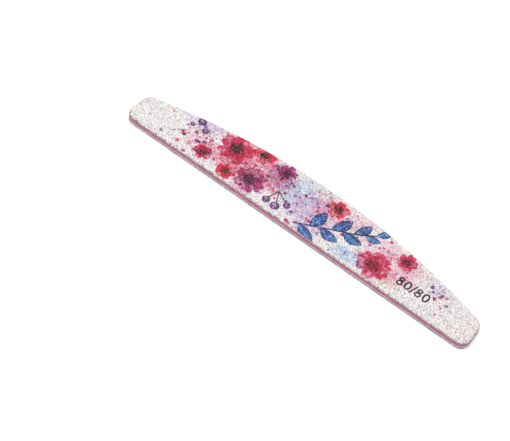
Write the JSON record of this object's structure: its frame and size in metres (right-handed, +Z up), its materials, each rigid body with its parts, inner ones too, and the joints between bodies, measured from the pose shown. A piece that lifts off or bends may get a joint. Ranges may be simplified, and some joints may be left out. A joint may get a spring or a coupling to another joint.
{
  "type": "emery board",
  "caption": "Half-moon cushioned nail file: a plastic core between foam pads, faced on both sides with coarse printed abrasive paper.",
  "frame": {"origin": "middle of the lower face, halfway along the board and halfway between the straight edge and the top of the curved edge", "axes": "+X along the board, +Y from the straight edge to the curved edge, +Z up through the layers"},
  "size_m": [0.178, 0.028, 0.004],
  "materials": {
    "core_plastic": "satin",
    "adhesive_film": "satin",
    "foam": "matte",
    "backing_paper": "matte",
    "abrasive": "matte"
  },
  "bodies": {
    "root": {"core_plate": "core_plastic", "core_adhesive_top": "adhesive_film", "core_adhesive_bottom": "adhesive_film", "foam_pad_top": "foam", "foam_pad_bottom": "foam", "paper_adhesive_top": "adhesive_film", "paper_adhesive_bottom": "adhesive_film", "backing_paper_top": "backing_paper", "backing_paper_bottom": "backing_paper", "grit_coat_top": "abrasive", "grit_coat_bottom": "abrasive"}
  },
  "joints": []
}
